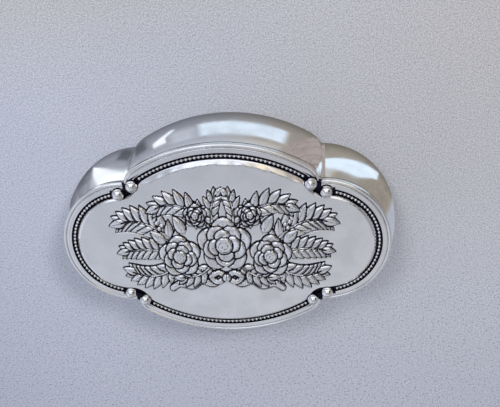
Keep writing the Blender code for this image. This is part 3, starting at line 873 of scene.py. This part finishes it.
number = np.full(len(column), -1)
number = np.where(row == 0, 3 * half_y + cells_x + column, number)
number = np.where(row == cells_y, half_y + cells_x - column, number)
number = np.where(column == 0, 3 * half_y + cells_x - row, number)
number = np.where(column == cells_x, (row - half_y) % len(edge), number)
place = cover.data.attributes.new("place", "INT", "POINT")
place.data.foreach_set("value", number.astype(np.int32))
dark = cover.data.attributes.new("oxide_and_shade", "FLOAT", "POINT")
# Oxide and painted shade from the relief, and the painted dark line of the shoulder.
darkness = np.maximum(relief.dark, 0.62 * top_line)
dark.data.foreach_set("value", darkness.astype(np.float32))
print("the relief is", round(float(raised.max() / mm), 2), "mm high")

# %% [markdown]
# The section of the edge is a list of offsets, heights and darkness, read
# from the panel outwards and then back underneath. The darkness is oxide
# with painted shade: the beads' channel is black, a fine rim beside it is
# worn bright, and the groove beside the roll is dark.

# %% The section of the cover's edge
roll_middle, roll_radius = (3.2, -0.7), 0.6
edge_section = [(-0.99, -0.04, 0.4), (-0.97, -0.16, 0.9), (-0.95, -0.90, 1.0),
                (0.95, -0.90, 1.0), (0.98, -0.14, 0.9), (1.01, -0.02, 0.3), (1.09, 0.03, 0.0),
                (1.22, 0.02, 0.0), (1.34, -0.01, 0.0), (1.85, 0.0, 0.0), (2.40, 0.0, 0.0),
                (2.47, -0.04, 0.25), (2.53, -0.20, 0.52), (2.60, -0.30, 0.52)]
for turn in range(150, -60, -15):
    out = roll_middle[0] + roll_radius * math.cos(math.radians(turn))
    up = roll_middle[1] + roll_radius * math.sin(math.radians(turn))
    edge_section.append((out, up, 0.35 if turn > 140 else 0.0))
edge_section += [(3.63, -1.35, 0.6), (3.65, -1.55, 0.2), (3.65, -2.30, 0.0), (3.58, -2.40, 0.3),
                 (2.98, -2.40, 0.3), (2.95, -2.30, 0.3), (2.95, -1.60, 0.5), (-1.70, -1.60, 0.3),
                 (-4.40, 0.10, 0.2)]

bpy.ops.object.mode_set(mode="EDIT")
bpy.ops.mesh.select_all(action="DESELECT")
bpy.context.tool_settings.mesh_select_mode = (False, True, False)
made = bmesh.from_edit_mesh(cover.data)
for line in made.edges:
    line.select = line.is_boundary
made.select_flush_mode()
bmesh.update_edit_mesh(cover.data)
draw_out(cover, [cover_ring(out * mm, up * mm, soft_edge if -1.0 < out < 0 else 0.0)
                 for out, up, _ in edge_section],
         [oxide_and_shade for _, _, oxide_and_shade in edge_section])
close_loop()
finish_shape(cover, 50.0)

# %% [markdown]
# ## Finishes
#
# Polished silver is a metal with hardly any colour. What makes it look real is
# what breaks the mirror: fine scratches in all directions, soft smudges that
# change its roughness, and gentle waves left by the hammer. In the recesses a
# dark oxide was left on purpose, and the same dark paints the shade that falls
# there. On the panel and its edge an attribute says where, and on the beads and
# the balls their height does, so that it stays crisp however coarse the mesh is.

# %% Polished silver
scratch_depth = 0.0021
oxide_and_shade_colour = (0.028, 0.023, 0.044, 1.0)


def scratches_along(spot, degrees, low):
    """Fine straight scratches that lie along degrees."""
    laid = spot.node("ShaderNodeMapping", sockets={
        "Vector": spot, "Rotation": (0.3, 0.2, math.radians(degrees)), "Scale": (60.0, 5200.0, 60.0)})
    return laid.noise(1.0, 2.0).ramp(low, low + 0.14)


def silver_finish(name, waves, haze=0.0, oxide_and_shade=None):
    """Polished silver. The last argument is a function that gives the mask of the dark recesses: oxide
    and painted shade.
    """
    spot, shader, material = start_material(name)
    smudge, fine, wave = spot.noise(140.0, 4.0), spot.noise(2200.0, 2.0), spot.noise(90.0, 1.0)
    scratch = scratches_along(spot, 12.0, 0.60) + scratches_along(spot, 71.0, 0.62)
    scratch = scratch + scratches_along(spot, 128.0, 0.62)
    tone = smudge.ramp(0.35, 0.7, 0.98, 0.90)
    colour = spot.node("ShaderNodeCombineXYZ", sockets={0: tone, 1: tone * 0.995, 2: tone * 0.985})
    rough = smudge.ramp(0.3, 0.7, 0.10 + haze, 0.20 + haze) + scratch * 0.04
    if oxide_and_shade:
        mask = oxide_and_shade(spot, fine)
        colour = mask.mix(colour, oxide_and_shade_colour)
        rough = rough + mask * 0.35
    feed(shader, "Base Color", colour)
    feed(shader, "Metallic", 1.0)
    feed(shader, "Roughness", rough)
    uneven = wave * waves + fine * 0.0045 - scratch * scratch_depth
    feed(shader, "Normal", spot.node("ShaderNodeBump", sockets={
        "Strength": 1.0, "Distance": 0.25 * mm, "Height": uneven}))
    return material


print("polished silver can be given")

# %% [markdown]
# The hollows at the creases are dark too, with oxide and with painted shade,
# where the mesh has no section line to carry it. So this mask is worked out
# from places: the cover is folded onto its back right quarter, and a few
# straight edges and circles fence in the hollow beside the balls, the valley
# between them, the feet of the two balls and the ends of the rows of beads.
# The painted hollow is smaller at the front.

# %% Oxide and painted shade in the hollows
corner_mm = (27.0, 18.9)
balls_mm = ((27.84, 20.74), (32.42, 18.03))
ball_foot_mm = 2.12


def folded(spot):
    """Millimetres from the two middle lines of the box, millimetres up, and one at the front."""
    x, y, up = [spot.part(name) * 1000.0 for name in ("X", "Y", "Z")]
    return x.size(), y.size(), up, y.ramp(-1.0, 1.0, 1.0, 0.0)


def painted_crease_shade(x, y, front):
    """How far inside the painted shade of the hollows beside the balls a point lies, in millimetres.
    """
    from_x, from_y = x - corner_mm[0], y - corner_mm[1]
    over_panel = from_x * 0.570 + from_y * 0.821 - front * 0.8
    under_lobe = from_x * 0.560 - from_y * 0.828 + 0.4
    hollow = over_panel.least(under_lobe, 31.0 - x, 21.9 - y)
    across = (x - 30.85) * 0.91 - (y - 21.9) * 0.42
    valley = (0.50 - across.size()).least(22.5 - y, y - 17.5)
    shaded_feet = [ball_foot_mm - (x - ball_x).reach(y - ball_y) for ball_x, ball_y in balls_mm]
    from_end = (x - end_out_mm).reach(y) - end_radius_mm
    row_end = (from_end + 1.1).least(1.75 - from_end, x - 34.35, 35.2 - x)
    from_long = x.reach(y + long_back_mm) - long_radius_mm
    wedge = ((x - 25.2) * 0.11 - (from_long - 1.3).size()).least(28.6 - x)
    return hollow.most(valley, *shaded_feet, row_end, wedge)


def oxide_and_crease_shade(spot, fine):
    """The attribute's mask of oxide and painted shade, and the painted shade in the hollows at the
    creases, roughened at their edges.
    """
    attribute = spot.node("ShaderNodeAttribute", {"attribute_name": "oxide_and_shade"}, output="Fac")
    x, y, up, front = folded(spot)
    rough_edge = fine * 0.3 - 0.15
    crease_shade_mask = (painted_crease_shade(x, y, front) + rough_edge).ramp(-0.10, 0.12) * up.ramp(32.9, 33.0)
    return (attribute + rough_edge).ramp(0.31, 0.72).most(crease_shade_mask)


def oxide_and_shade_below(height):
    """Oxide and painted shade, dark on a round piece up to a height in millimetres."""
    def mask(spot, fine):
        return (spot.part("Z") * 1000.0 + fine * 0.1).ramp(height - 0.14, height + 0.14, 1.0, 0.0)
    return mask


cover_silver = silver_finish("silver_of_cover", waves=0.10, haze=0.10, oxide_and_shade=oxide_and_crease_shade)
plain_silver = silver_finish("silver_of_wall", waves=0.25)
# The beads are painted dark low down, where shade falls in the channel, and the balls at their feet,
# where they meet the cover: painted shade with oxide.
bead_silver = silver_finish("silver_of_beads", waves=0.0, haze=0.12, oxide_and_shade=oxide_and_shade_below(33.58))
ball_silver = silver_finish("silver_of_balls", waves=0.0, haze=-0.05, oxide_and_shade=oxide_and_shade_below(34.10))
place_piece(cover, "cover", "silver", cover_silver, "cover_shell")
print("silver finishes made")

# %% [markdown]
# ## Beads
#
# Real beading of this kind is stamped: small half-balls in a row, joined by a
# thin web. One bead is a small ball of eighty faces, copied along the arc with
# its own mesh each time. The web under them is a disc, spun along the same
# arc. An array modifier on a curve could place the beads as well, but turns
# that are worked out keep both ends of a row at the same distance from the
# balls. Beads and web are then joined into one piece for each side.

# %% Four rows of beads
bead_radius, web_radius, bead_gap = 0.5 * mm, 0.2 * mm, 0.75 * mm
channel_floor = land_height - 0.9 * mm
bead_middle, web_drop = channel_floor + bead_radius + 0.05 * mm, 0.25 * mm
ball_radius, ball_middle, ball_seat = 1.88 * mm, land_height + 0.90 * mm, land_height - 0.5 * mm
long_sweep, end_sweep = math.radians(35.3), math.radians(86.4)

bpy.ops.object.select_all(action="DESELECT")
bpy.ops.mesh.primitive_ico_sphere_add(subdivisions=2, radius=bead_radius)
first_bead = bpy.context.object
bpy.ops.object.shade_smooth()


def bead_row(name, middle, radius, facing_deg, sweep, count, node):
    """Beads at even turns along an arc, with a web under them, as one piece."""
    half = sweep - (ball_radius + bead_gap) / radius
    turns = math.radians(facing_deg) - half + 2 * half * (np.arange(count) + 0.5) / count
    bpy.ops.object.select_all(action="DESELECT")
    copies = []

    def on_row(turn, height):
        return middle[0] + radius * math.cos(turn), middle[1] + radius * math.sin(turn), height

    for turn in turns:
        bead = first_bead.copy()
        bead.data = first_bead.data.copy()
        bead.location = on_row(turn, bead_middle)
        bead.rotation_euler = (0, 0, turn)
        bpy.context.scene.collection.objects.link(bead)
        copies.append(bead)
    bpy.ops.mesh.primitive_circle_add(vertices=8, radius=web_radius)
    web = bpy.context.object
    bpy.ops.object.mode_set(mode="EDIT")
    bpy.ops.mesh.select_all(action="SELECT")
    bpy.ops.mesh.edge_face_add()
    bpy.ops.transform.rotate(value=math.pi / 2, orient_axis="X", center_override=(0, 0, 0))
    bpy.ops.mesh.select_all(action="DESELECT")
    bpy.ops.object.mode_set(mode="OBJECT")
    web.location = on_row(turns[0], bead_middle - web_drop)
    web.rotation_euler = (0, 0, turns[0])
    bpy.ops.object.transform_apply(location=True, rotation=True, scale=True)
    bpy.ops.object.mode_set(mode="EDIT")
    bpy.ops.mesh.select_all(action="SELECT")
    bpy.ops.mesh.spin(steps=count * 2, angle=float(turns[0] - turns[-1]),
                      center=(*middle, bead_middle), axis=(0, 0, 1))
    bpy.ops.mesh.select_all(action="SELECT")
    bpy.ops.mesh.normals_make_consistent(inside=False)
    bpy.ops.object.mode_set(mode="OBJECT")
    for bead in copies:
        bead.select_set(True)
    web.select_set(True)
    bpy.context.view_layer.objects.active = web
    bpy.ops.object.join()
    web.name = web.data.name = name
    bpy.ops.object.shade_smooth()
    place_piece(web, "cover", "silver", bead_silver, node)
    print(name, "has", count, "beads")


bead_row("beads_back", long_middle, long_arc_radius, 90, long_sweep, 40, "bead_wire_back")
bead_row("beads_front", -long_middle, long_arc_radius, 270, long_sweep, 40, "bead_wire_front")
bead_row("beads_right", end_middle, end_arc_radius, 0, end_sweep, 38, "bead_wire_right")
bead_row("beads_left", -end_middle, end_arc_radius, 180, end_sweep, 38, "bead_wire_left")
bpy.data.objects.remove(first_bead)

# %% [markdown]
# ## Balls
#
# A pair of balls sits at each crease, soldered down on a small flat. A ball is
# a sphere, cut by a plane where its seat is and closed there.

# %% Eight balls
def ball_on_cover(name, x, y):
    """A polished ball, cut flat where it sits on the cover."""
    bpy.ops.object.select_all(action="DESELECT")
    bpy.ops.mesh.primitive_uv_sphere_add(
        segments=48, ring_count=24, radius=ball_radius, location=(x, y, ball_middle))
    ball = bpy.context.object
    bpy.ops.object.transform_apply(location=True, rotation=True, scale=True)
    bpy.ops.object.mode_set(mode="EDIT")
    bpy.ops.mesh.select_all(action="SELECT")
    bpy.ops.mesh.bisect(
        plane_co=(x, y, ball_seat), plane_no=(0, 0, 1), use_fill=True, clear_inner=True)
    bpy.ops.object.mode_set(mode="OBJECT")
    bpy.ops.object.shade_smooth_by_angle(angle=math.radians(35))
    ball.name = ball.data.name = name + "_polished"
    place_piece(ball, "cover", "silver", ball_silver, name)


inner = on_arc(long_middle, long_arc_radius - 0.45 * mm, np.array([math.pi / 2 - long_sweep]))[0]
outer = on_arc(end_middle, end_arc_radius + 0.35 * mm, np.array([end_sweep]))[0]
for side, flip_x in (("right", 1), ("left", -1)):
    for face, flip_y in (("back", 1), ("front", -1)):
        ball_on_cover(f"ball_{face}_{side}_inner", inner[0] * flip_x, inner[1] * flip_y)
        ball_on_cover(f"ball_{face}_{side}_outer", outer[0] * flip_x, outer[1] * flip_y)
print("eight balls, the inner ones at", [round(part / mm, 2) for part in inner])

# %% [markdown]
# ## The wall of the box
#
# The wall is one bulging band. It is drawn out from the mouth down to the
# foot and back up inside, with the swell of the real one: quick under the
# rim, widest a little below half height, and drawn in to the base. The end
# lobes swell and draw in more than the long ones. A Solidify modifier could
# give the wall its thickness, but drawn rings keep it even at the creases.

# %% Bulging wall
mouth_height, girth_height, foot_height = 31.3 * mm, 15.0 * mm, 1.1 * mm
wall_sheet = 0.7 * mm
long_tuck_mm, end_tuck_mm = 3.4, 3.9
crease_mm, crease_swell_mm = 0.6, 0.6


def wall_ring(height, inset):
    """The wall's outline at a height, moved in from its outer face."""
    above = min(1.0, (mouth_height - height) / (mouth_height - girth_height))
    below = max(0.0, (girth_height - height) / (girth_height - foot_height))
    swell = 1 - (1 - above) ** 2
    turned_in = below ** 2.6
    long_offset = (rim_mm + long_swell_mm * swell - long_tuck_mm * turned_in) * mm - inset
    end_offset = (rim_mm + end_swell_mm * swell - end_tuck_mm * turned_in) * mm - inset
    crease = (crease_mm + crease_swell_mm * swell) * mm + inset
    return at_height(outline(long_offset, end_offset, crease, plain_shares), height)


heights = np.concatenate((np.linspace(mouth_height, girth_height, 18)[:-1],
                          np.linspace(girth_height, foot_height, 18)))
section = [wall_ring(height, 0.0) for height in heights]
section += [wall_ring(height, wall_sheet) for height in heights[::-1]]
wall = start_ring("wall_of_silver", section[0])
draw_out(wall, section[1:] + [section[0]])
finish_shape(wall)
place_piece(wall, "box", "silver", plain_silver, "box_wall")

# %% [markdown]
# ## The bezel
#
# Under the cover an upright strip guides it into the mouth. Its lower edge is
# eased so that it finds the mouth.

# %% Bezel under the cover
bezel_inner_mm = 2.05
bezel_section = ((2.65, -1.90), (2.65, -7.3), (2.58, -7.55), (2.45, -7.6),
                 (bezel_inner_mm, -7.6), (bezel_inner_mm, -1.90))
rings = [at_height(outline(out * mm, out * mm, parallel_crease(out * mm), plain_shares),
                   land_height + up * mm) for out, up in bezel_section]
bezel = start_ring("bezel_of_silver", rings[0])
draw_out(bezel, rings[1:] + [rings[0]])
finish_shape(bezel)
place_piece(bezel, "cover", "silver", plain_silver, "cover_bezel")

# %% [markdown]
# ## Linings
#
# Boxes like this one are lined with velvet over wadding: a pad on the floor, a
# pad inside the cover and a strip round the wall. Velvet has a matt pile with
# a bright sheen at its turned edges. The pads are drawn out from their seats
# and swell between their edges and the middle.

# %% Velvet and card
def velvet_finish():
    """Dark blue velvet, brushed lighter in places."""
    spot, shader, material = start_material("blue_velvet")
    pile, nap = spot.noise(3500.0, 2.0), spot.noise(70.0, 3.0)
    shade = nap.ramp(0.35, 0.65).mix((0.030, 0.042, 0.130, 1.0), (0.065, 0.085, 0.24, 1.0))
    feed(shader, "Base Color", shade)
    feed(shader, "Roughness", 0.9)
    feed(shader, "Specular IOR Level", 0.2)
    feed(shader, "Sheen Weight", 0.5)
    feed(shader, "Sheen Roughness", 0.4)
    feed(shader, "Sheen Tint", (0.5, 0.55, 0.9, 1.0))
    feed(shader, "Normal", spot.node("ShaderNodeBump", sockets={
        "Strength": 0.6, "Distance": 0.15 * mm, "Height": pile + nap * 0.8}))
    return material


def card_finish():
    """Plain brown card with a little fibre in it."""
    spot, shader, material = start_material("lining_card")
    fibre = spot.noise(900.0, 4.0)
    light = fibre.ramp(0.3, 0.7)
    feed(shader, "Base Color", light.mix((0.50, 0.43, 0.33, 1.0), (0.60, 0.53, 0.43, 1.0)))
    feed(shader, "Roughness", fibre.ramp(0.3, 0.7, 0.8, 0.95))
    feed(shader, "Normal", spot.node("ShaderNodeBump", sockets={
        "Strength": 0.4, "Distance": 0.05 * mm, "Height": fibre}))
    return material


velvet = velvet_finish()
card = card_finish()
base_silver = silver_finish("silver_of_base", waves=0.05, haze=0.08)
shown_nodes = (("base_plate", base_silver), ("cover_lining_board", card), ("floor_lining_board", card))
for node, material in shown_nodes:
    nodes[node].data.materials.clear()
    nodes[node].data.materials.append(material)
print("velvet, card, and finishes for", len(shown_nodes), "nodes that show as they are")

# %% [markdown]
# A pad's section runs from its seat, out over the swell of its side and in
# over a rounded shoulder to its crowned middle, where the last small ring is
# merged into a point.

# %% Pads and side strip
pad_side = ((-0.35, 0.0), (0.0, 0.10), (0.22, 0.30), (0.25, 0.50),
            (0.12, 0.72), (-0.30, 0.90), (-1.0, 0.975), (-1.9, 1.0))
pad_top = (0.93, 0.85, 0.75, 0.62, 0.48, 0.34, 0.20, 0.08)


def stuffed_pad(name, offsets, crease, seat, tall, crown, body, node):
    """A pad on a seat. tall and crown are negative where it hangs from the cover."""
    long_offset, end_offset = offsets
    rings = []
    for out, up in pad_side:
        line = outline(long_offset + out * mm, end_offset + out * mm, crease - out * mm, plain_shares)
        rings.append(at_height(line, seat + tall * up))
    rim = rings[-1]
    for share in pad_top:
        inner_ring = rim * (share, share, 1.0)
        inner_ring[:, 2] = seat + tall + crown * (1 - share ** 2)
        rings.append(inner_ring)
    pad = start_ring(name, rings[0])
    close_loop()
    draw_out(pad, rings[1:])
    bpy.ops.mesh.merge(type="CENTER")
    finish_shape(pad, 60.0)
    place_piece(pad, body, "velvet", velvet, node)


strip_back, strip_front = 1.0 * mm, 2.2 * mm
foot_long = (rim_mm + long_swell_mm - long_tuck_mm) * mm - strip_back
foot_end = (rim_mm + end_swell_mm - end_tuck_mm) * mm - strip_back
stuffed_pad("floor_pad_velvet", (foot_long, foot_end), 2.2 * mm,
            2.2 * mm, 3.0 * mm, 0.7 * mm, "box", "floor_lining_pad")
snug = (bezel_inner_mm - 0.3 - 0.3) * mm
stuffed_pad("cover_pad_velvet", (snug, snug), parallel_crease(snug),
            31.0 * mm, -2.8 * mm, -0.7 * mm, "cover", "cover_lining_pad")

strip_top_mm, strip_foot_mm = 26.1, 5.5
strip_heights = np.linspace(strip_top_mm, strip_foot_mm, 12) * mm
rings = [wall_ring(height, strip_back) for height in strip_heights]
rings += [wall_ring(height, strip_front) for height in strip_heights[::-1]]
strip = start_ring("side_lining_velvet", rings[0])
draw_out(strip, rings[1:] + [rings[0]])
finish_shape(strip, 60.0)
place_piece(strip, "box", "velvet", velvet, "side_lining_strip")
print("two pads and a strip")
